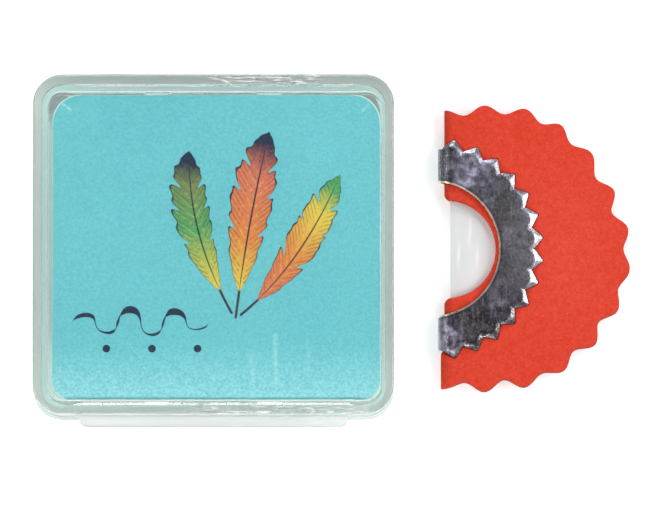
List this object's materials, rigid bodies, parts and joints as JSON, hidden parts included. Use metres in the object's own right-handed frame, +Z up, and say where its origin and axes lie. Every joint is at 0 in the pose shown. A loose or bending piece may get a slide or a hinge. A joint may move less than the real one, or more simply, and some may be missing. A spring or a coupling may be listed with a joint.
{
  "type": "bird call",
  "caption": "Folded half-moon mouth bird call, a scalloped skirt with a toothed tin ring round a thin film, beside its small clear hinged case with a printed card",
  "frame": {"origin": "centre of the set's footprint on the surface it lies on: case on the left (-X), call on the right (+X)", "axes": "+Z up, +X from the case to the call, -Y towards the case's thumb tab, +Y towards its hinge"},
  "size_m": [0.0746, 0.0442, 0.009],
  "materials": {
    "clear_plastic": "clear, glossy, slightly green",
    "printed_card": "printed turquoise, soft gloss",
    "red_leather": "orange-red, matt, finely speckled",
    "tin": "smudged tinplate, bright at its cut edges",
    "film": "translucent white film, silky"
  },
  "bodies": {
    "base": {"case_base": "clear_plastic", "hinge_strap_left": "clear_plastic", "hinge_strap_right": "clear_plastic"},
    "lid": {"case_lid": "clear_plastic", "title_card": "printed_card"},
    "call": {"call_skirt": "red_leather", "clamp_ring": "tin", "call_film": "film"}
  },
  "joints": [
    {"name": "lid_hinge", "type": "hinge", "parent": "base", "child": "lid", "pos_m": [-0.01476, 0.02215, 0.0047], "axis": [-1, 0, 0], "range_deg": [0, 180], "deforming": ["hinge_strap_left", "hinge_strap_right"]},
    {"name": "call_lift", "type": "slide", "parent": "base", "child": "call", "axis": [0, 0, 1], "range_m": [0, 0.03]}
  ]
}
